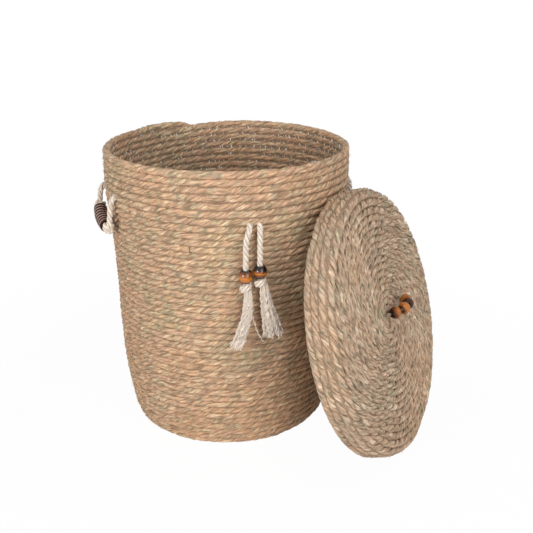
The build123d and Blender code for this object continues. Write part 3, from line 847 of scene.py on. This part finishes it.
# Tassels: one cotton cord is threaded through the wall and back. Each end hangs down the front,
# carries a bead, and is knotted and unlaid into a fringe.
TASSEL_HEADING = -50.5
TASSEL_EXIT = 0.398
TASSEL_ROOT = 0.199
TASSEL_PIVOT = 0.210094
TASSEL_HANG = 0.214514
TASSEL_EXIT_SIDE = {"left": -0.0074, "right": 0.0074}
TASSEL_BEND = {"left": (-0.0156, 0.376), "right": (0.0066, 0.376)}
TASSEL_STRAIGHT = {"left": (-0.01603, 0.3521), "right": (0.00643, 0.3590)}
TASSEL_END = {"left": (-0.0168, 0.3095), "right": (0.0060, 0.315)}
LOOP_SIDE_RADIALS = (0.2010, 0.1900, 0.1752)
LOOP_MIDDLE_RADIAL = 0.1724
KNOT_LENGTH = {"left": 0.0145, "right": 0.013}
WRAP_RADIUS = 0.0058
WRAP_TURNS = 1.75
WRAP_START, WRAP_FALL, WRAP_TILT = 0.28, 0.44, 0.14
KNOT_OVERLAP = 0.001
FRINGE_TUCK = 0.003
FRINGE_DROP = {"left": 0.095, "right": 0.089}
FRINGE_NECK = {"left": 0.0035, "right": 0.006}
FRINGE_SWING = {"left": -0.0142, "right": 0.022}
FRINGE_LAG = {"left": 0.95, "right": 0.15}
FRINGE_WIDTH = {"left": 0.0105, "right": 0.0155}
FRINGE_DEPTH = 0.007
FRINGE_THREADS = 120
FRINGE_SEED = {"left": 11, "right": 23}
STRAY_RADIAL = 0.2165
STRAY_THREAD = (
    (-0.0125, 0.2780), (-0.0086, 0.2628), (-0.0066, 0.2526), (-0.0038, 0.2425), (-0.0013, 0.2325),
    (0.0003, 0.2247), (0.0043, 0.2150), (0.0107, 0.2035),
)


def fringe_tree():
    """Loose yarns that hang from the knot and spread towards a blunt cut end."""
    tree, given, line = line_tree(
        "unlaid_fringe", Threads=FRINGE_THREADS, Across=(1.0, 0.0, 0.0), Outward=(0.0, 1.0, 0.0), Width=0.012,
        Depth=0.007, Neck=0.0056, Curl=0.009, Crimp=0.0014, Wave=0.013, Thread=0.00072, Seed=0,
    )
    line = shape(tree, "ResampleCurve", line, Count=32, mode="COUNT")
    copies = node(
        tree, "GeometryNodeDuplicateElements", line, Amount=given["Threads"], domain="SPLINE"
    ).outputs
    number = copies["Duplicate Index"]
    fallen = node(tree, "GeometryNodeSplineParameter").outputs
    fall = fallen["Factor"]
    place = shape(tree, "InputPosition")
    sides = (("Across", "COSINE", "Width"), ("Outward", "SINE", "Depth"))

    def draw(low, high, seed):
        return chance(tree, calc(tree, "ADD", given["Seed"], seed), low, high, ID=number)

    def growing(amount, pace):
        """Amount that grows from nothing at the knot and is full some way down."""
        return times(tree, amount, calc(tree, "MINIMUM", times(tree, fall, pace), 1.0))

    angle = draw(0.0, FULL_TURN, 1)
    reach = calc(tree, "SQRT", draw(0.0, 1.0, 2))
    spread = calc(tree, "POWER", fall, 1.15)
    moves = []
    for direction, wave, size in sides:
        wider = times(tree, calc(tree, "SUBTRACT", given[size], given["Neck"]), spread)
        amount = times(tree, calc(tree, wave, angle), reach)
        amount = times(tree, amount, calc(tree, "ADD", given["Neck"], wider))
        moves.append(scaled(tree, given[direction], amount))
    drift = noise(tree, place, 34.0, 1.0, "4D", W=times(tree, number, 3.1))["Color"]
    drift = vector(tree, "SUBTRACT", drift, (0.5, 0.5, 0.5))
    moves.append(scaled(tree, drift, growing(given["Curl"], 2.0)))
    bend = calc(tree, "DIVIDE", fallen["Length"], given["Wave"])
    bend = calc(tree, "MULTIPLY_ADD", bend, FULL_TURN, draw(0.0, FULL_TURN, 5))
    swell = growing(given["Crimp"], 4.0)
    for direction, wave, _ in sides:
        moves.append(scaled(tree, given[direction], times(tree, calc(tree, wave, bend), swell)))
    moves.append(upward(tree, times(tree, draw(0.0, 0.008, 3), fall)))
    move = moves[0]
    for more in moves[1:]:
        move = vector(tree, "ADD", move, more)
    threads = shape(tree, "SetPosition", copies[0], Offset=move)
    threads = store(tree, threads, "along", fallen["Length"])
    threads = store(tree, threads, "strand", number)
    # Inner yarns get a lower crest, so the material paints a little shade inside the fringe.
    threads = store(tree, threads, "crest", calc(tree, "MULTIPLY_ADD", reach, 0.14, 0.88))
    section = store(tree, ring(tree, 5, 1.0), "round", place, "FLOAT_VECTOR")
    size = times(tree, given["Thread"], draw(0.75, 1.2, 4))
    fringe = shape(tree, "CurveToMesh", threads, Profile_Curve=section, Scale=size, Fill_Caps=True)
    return covered(tree, shape(tree, "SetShadeSmooth", fringe), given["Material"])


def in_front(radial, across, height):
    """Point beside the heading of the tassels."""
    return around(TASSEL_HEADING, radial, across, height)


loose_yarn = fringe_tree()
combed_cotton = cotton(
    "combed_cotton", ((0.68, 0.560, 0.450), (0.81, 0.705, 0.600), (0.90, 0.805, 0.710)),
    (0.36, 0.270, 0.195),
)
tassel_outward = in_front(1.0, 0.0, 0.0)
tassel_across = in_front(0.0, 1.0, 0.0)
for side, exit_side in TASSEL_EXIT_SIDE.items():
    bend, straight, end = (
        in_front(TASSEL_HANG, *place[side]) for place in (TASSEL_BEND, TASSEL_STRAIGHT, TASSEL_END)
    )
    out_of_wall = [in_front(radial, exit_side, TASSEL_EXIT) for radial in (TASSEL_ROOT, TASSEL_PIVOT)]
    path = route(f"{side}_tassel_route", [*out_of_wall, bend, straight, end])
    tassel_cord = cotton_piece(f"{side}_tassel_strand", [path])
    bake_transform(tassel_cord)
    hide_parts(f"{side}_tassel_cord")

    hang = (end - bend).normalized()
    knot = KNOT_LENGTH[side]
    wrap = []
    for t in np.linspace(0, 1, 60):
        turn = FULL_TURN * WRAP_TURNS * t
        flat = tassel_across * math.cos(turn) + tassel_outward * math.sin(turn)
        drop = knot * (WRAP_START + WRAP_FALL * t + WRAP_TILT * math.cos(turn + math.pi))
        wrap.append(end + flat * WRAP_RADIUS + hang * drop)
    tassel_knot = cotton_piece(
        f"{side}_tassel_wrap", [wrap, [end - hang * KNOT_OVERLAP, end + hang * knot]],
        strand_depth=0.0019, strand_width=0.0022, offset=0.002, lay=-0.026,
    )
    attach(tassel_knot, f"{side}_tassel")
    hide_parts(f"{side}_tassel_knot")

    neck = end + hang * (knot - FRINGE_TUCK) + tassel_across * FRINGE_NECK[side]
    tip = end + hang * knot + tassel_across * FRINGE_SWING[side]
    tip.z -= FRINGE_DROP[side]
    belly = neck + (tip - neck) * 0.5 - tassel_across * FRINGE_SWING[side] * FRINGE_LAG[side]
    droop = [neck * (1 - t) ** 2 + belly * 2 * t * (1 - t) + tip * t**2 for t in np.linspace(0, 1, 15)]
    fringe = grow(
        f"{side}_tassel_yarns", [droop], loose_yarn, across=tassel_across, outward=tassel_outward,
        width=FRINGE_WIDTH[side], depth=FRINGE_DEPTH, seed=FRINGE_SEED[side], material=combed_cotton,
    )
    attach(fringe, f"{side}_tassel")
    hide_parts(f"{side}_tassel_fringe")
    if side == "left":
        pulled = route("stray_route", [in_front(STRAY_RADIAL, *place) for place in STRAY_THREAD])
        stray_yarn = grow(
            "left_tassel_stray_yarn", [pulled], loose_yarn, threads=2, width=0.0011, depth=0.0008,
            neck=0.0006, across=tassel_across, outward=tassel_outward, thread=0.0005, curl=0.003,
            crimp=0.0006, seed=4, material=combed_cotton,
        )
        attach(stray_yarn, "left_tassel")
        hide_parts("left_tassel_fringe")

inward, outward = (
    [in_front(radial, exit_side, TASSEL_EXIT) for radial in LOOP_SIDE_RADIALS]
    for exit_side in TASSEL_EXIT_SIDE.values()
)
loop_inside = [*inward, in_front(LOOP_MIDDLE_RADIAL, 0.0, TASSEL_EXIT), *reversed(outward)]
tassel_loop = cotton_piece("tassel_inner_loop", [route("tassel_loop_route", loop_inside)])
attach(tassel_loop, "basket")
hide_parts("tassel_bridge")

# Beads: turned wooden barrels, scorched dark towards their ends and lacquered. Two are on the tassels
# and four on the lid's arch, which have a thinner coat.
LID_BEADS = 4
LID_BEAD_HALF, LID_BEAD_COAT = 0.00925, 0.3
TASSEL_BEAD_HALF, TASSEL_BEAD_COAT = 0.01025, 0.85
TASSEL_BEAD_SEAT = 0.01055
SCORCH = (0.012, 0.005, 0.003)
BROWN = (0.120, 0.034, 0.008)
RUST = (0.290, 0.083, 0.012)
AMBER = (0.590, 0.190, 0.022)
BEAD_STOPS = {
    "left_tassel_bead": (
        (0.06, BROWN), (0.24, AMBER), (0.46, AMBER), (0.64, RUST), (0.86, BROWN), (0.98, SCORCH),
    ),
    "right_tassel_bead": ((0.1, SCORCH), (0.34, RUST), (0.46, AMBER), (0.56, RUST), (0.72, SCORCH)),
    "lid_bead_1": (
        (0.05, SCORCH), (0.22, BROWN), (0.42, RUST), (0.6, AMBER), (0.8, RUST), (0.97, SCORCH),
    ),
    "lid_bead_2": ((0.04, BROWN), (0.25, AMBER), (0.75, AMBER), (0.98, BROWN)),
    "lid_bead_3": ((0.0, SCORCH), (0.35, BROWN), (0.7, SCORCH), (1.0, SCORCH)),
    "lid_bead_4": ((0.0, RUST), (0.3, AMBER), (0.75, RUST), (1.0, SCORCH)),
}
ARCH_MIDDLE = Vector((0.308144, -0.0047, 0.238371))
ARCH_RISE = 0.0212
ARCH_RADIUS = 0.04647
ARCH_PITCH = 0.0206


def bead_group():
    """How far a point lies along a bead, with a wavering scorch line, and the wood's grain."""
    group, given = new_tree(
        "scorched_bead", "ShaderNodeTree", {"Reach": "Float", "Grain": "Float"},
        Middle=(0.0, 0.0, 0.0), Axis=(0.0, 0.0, 1.0), Half=0.01,
    )
    offset = vector(group, "SUBTRACT", own_place(group), given["Middle"])
    reach = calc(group, "DIVIDE", vector(group, "DOT_PRODUCT", offset, given["Axis"]), given["Half"])
    waver = calc(group, "SUBTRACT", noise(group, offset, 150.0, 2.0)[0], 0.5)
    reach = calc(group, "ADD", reach, times(group, waver, 0.5))
    grain = noise(group, offset, 420.0, 3.0, Distortion=1.0)[0]
    node(group, "NodeGroupOutput", Reach=reach, Grain=grain)
    return group


scorched_bead = bead_group()


def lacquer_bead(label, middle, axis, half, coat):
    """Gives a bead its lacquered wood from one end to the other, with painted shade that darkens it towards
    its outline.
    """
    material, tree, shader = surface(f"{label}_lacquer")
    form = node(
        tree, "ShaderNodeGroup", node_tree=scorched_bead, Middle=middle, Axis=axis, Half=half
    ).outputs
    colour = ramp(tree, calc(tree, "MULTIPLY_ADD", form["Reach"], 0.5, 0.5), BEAD_STOPS[label])
    facing = node(tree, "ShaderNodeLayerWeight", 0.4).outputs["Facing"]
    shade = span(tree, form["Grain"], 0.28, 0.72, 0.55, 1.25)
    # Painted shade: darker where the surface turns away from the camera, towards the bead's outline.
    shade = times(tree, shade, span(tree, facing, 0.3, 0.9, 1.0, 0.35))
    feed(tree, shader, {
        "Base Color": shaded(tree, colour, shade),
        "Roughness": span(tree, form["Grain"], 0.2, 0.8, 0.16, 0.3),
        "Specular IOR Level": 0.08,
        "Coat Weight": coat,
        "Coat Roughness": 0.05,
    })
    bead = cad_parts[label]
    bead.data.materials.clear()
    bead.data.materials.append(material)


lid_level = Vector((0.0, 1.0, 0.0))
arch_centre = ARCH_MIDDLE + lid_out * (ARCH_RISE - ARCH_RADIUS)
for number in range(LID_BEADS):
    swing = (number - (LID_BEADS - 1) / 2) * ARCH_PITCH / ARCH_RADIUS
    along = lid_level * math.cos(swing) - lid_out * math.sin(swing)
    middle = arch_centre + (lid_out * math.cos(swing) + lid_level * math.sin(swing)) * ARCH_RADIUS
    lacquer_bead(f"lid_bead_{number + 1}", middle, along, LID_BEAD_HALF, LID_BEAD_COAT)
for side in ("left", "right"):
    bend, end = (in_front(TASSEL_HANG, *place[side]) for place in (TASSEL_BEND, TASSEL_END))
    up = (bend - end).normalized()
    middle = end + up * TASSEL_BEAD_SEAT
    lacquer_bead(f"{side}_tassel_bead", middle, up, TASSEL_BEAD_HALF, TASSEL_BEAD_COAT)

# Lid arch: a thinner cotton cord through four beads. Its ends go down through the lid and are
# knotted underneath.
ARCH_HALF = 0.039
ARCH_SHOULDER = 0.02524
ARCH_FOOT_GAP = 0.0008
ARCH_THROUGH = 0.012
ARCH_KNOT_DEPTH = 0.0245
ARCH_KNOT_RADIUS = 0.0045
ARCH_LINE = (-ARCH_HALF, 0.0), (-ARCH_SHOULDER, ARCH_RISE), (ARCH_SHOULDER, ARCH_RISE), (ARCH_HALF, 0.0)
arch_path = route(
    "arch_route", [ARCH_MIDDLE + lid_level * across + lid_out * rise for across, rise in ARCH_LINE]
)
tan_cotton = cotton(
    "tan_cotton", ((0.27, 0.185, 0.120), (0.36, 0.260, 0.175), (0.45, 0.335, 0.230)), (0.15, 0.100, 0.066)
)
THIN_CORD = dict(
    strand_depth=0.0012, strand_width=0.0014, offset=0.0013, lay=-0.018, step=0.0012, unevenness=0.00012,
    material=tan_cotton,
)
arch_cord = cotton_piece("lid_arch_cord", [arch_path], **THIN_CORD)
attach(arch_cord, "lid_handle")
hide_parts("lid_handle_cord")
arch_ends = []
for across in (-ARCH_HALF, ARCH_HALF):
    foot = ARCH_MIDDLE + lid_level * across
    under = foot - lid_out * ARCH_KNOT_DEPTH
    arch_ends.append([foot - lid_out * ARCH_FOOT_GAP, foot - lid_out * ARCH_THROUGH, under])
    arch_ends.append(knot_line(under, lid_out, ARCH_KNOT_RADIUS))
arch_knots = cotton_piece("lid_arch_knots", arch_ends, **THIN_CORD)
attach(arch_knots, "lid")
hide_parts("lid_handle_anchors")

# Studio: a pale floor, a soft key light from the left front, a wide fill from the right, a small top
# light, and an even pale surround that shows as white behind the basket.
WHITE = (1.0, 1.0, 1.0, 1.0)
AMBIENT = 0.28
FLOOR = 6.0
FLOOR_GREY = (0.86, 0.85, 0.84, 1.0)
GLOW_NEAR, GLOW_FAR = 0.4, 0.95
GLOW_LEAST, GLOW_MOST = 0.97, 1.0


def seen_directly(tree):
    """One where the camera sees, also by a reflection or through glass, and nought for the light."""
    ray = node(tree, "ShaderNodeLightPath").outputs
    seen = calc(tree, "MAXIMUM", ray["Is Camera Ray"], ray["Is Glossy Ray"])
    return calc(tree, "MAXIMUM", seen, ray["Is Transmission Ray"])


world = bpy.data.worlds.new("surround")
bpy.context.scene.world = world
world.use_nodes = True
sky = world.node_tree
sky.nodes.clear()
ambient, white = (
    node(sky, "ShaderNodeBackground", WHITE, strength).outputs[0]
    for strength in (AMBIENT, 1.0)
)
chosen = node(sky, "ShaderNodeMixShader", seen_directly(sky), ambient, white)
node(sky, "ShaderNodeOutputWorld", Surface=chosen.outputs[0])

floor_mesh = bpy.data.meshes.new("floor")
floor_mesh.from_pydata(
    [(-FLOOR, -FLOOR, 0.0), (FLOOR, -FLOOR, 0.0), (FLOOR, FLOOR, 0.0), (-FLOOR, FLOOR, 0.0)],
    [], [(0, 1, 2, 3)],
)
put("floor", floor_mesh)
floor_paint = bpy.data.materials.new("pale_floor")
floor_paint.use_nodes = True
paint = floor_paint.node_tree
paint.nodes.clear()
matt = node(paint, "ShaderNodeBsdfDiffuse", FLOOR_GREY).outputs[0]
glow = node(paint, "ShaderNodeEmission", WHITE, 1.0).outputs[0]
away = vector(paint, "LENGTH", own_place(paint))
share = span(paint, away, GLOW_NEAR, GLOW_FAR, GLOW_LEAST, GLOW_MOST)
share = times(paint, seen_directly(paint), share)
chosen = node(paint, "ShaderNodeMixShader", share, matt, glow)
node(paint, "ShaderNodeOutputMaterial", Surface=chosen.outputs[0])
floor_mesh.materials.append(floor_paint)


def softbox(name, place, target, size, power):
    lamp = bpy.data.lights.new(name, "AREA")
    lamp.shape = "SQUARE"
    lamp.size = size
    lamp.energy = power
    holder = put(name, lamp)
    holder.location = place
    holder.rotation_euler = (Vector(target) - Vector(place)).to_track_quat("-Z", "Y").to_euler()


softbox("key_light", (-0.55, -2.35, 0.79), (0.05, 0.0, 0.25), size=0.7, power=29.0)
softbox("fill_light", (2.0, -1.4, 1.0), (0.1, 0.0, 0.2), size=1.6, power=26.5)
softbox("top_light", (0.7, -0.68, 2.0), (0.13, -0.1, 0.35), size=0.45, power=10.5)
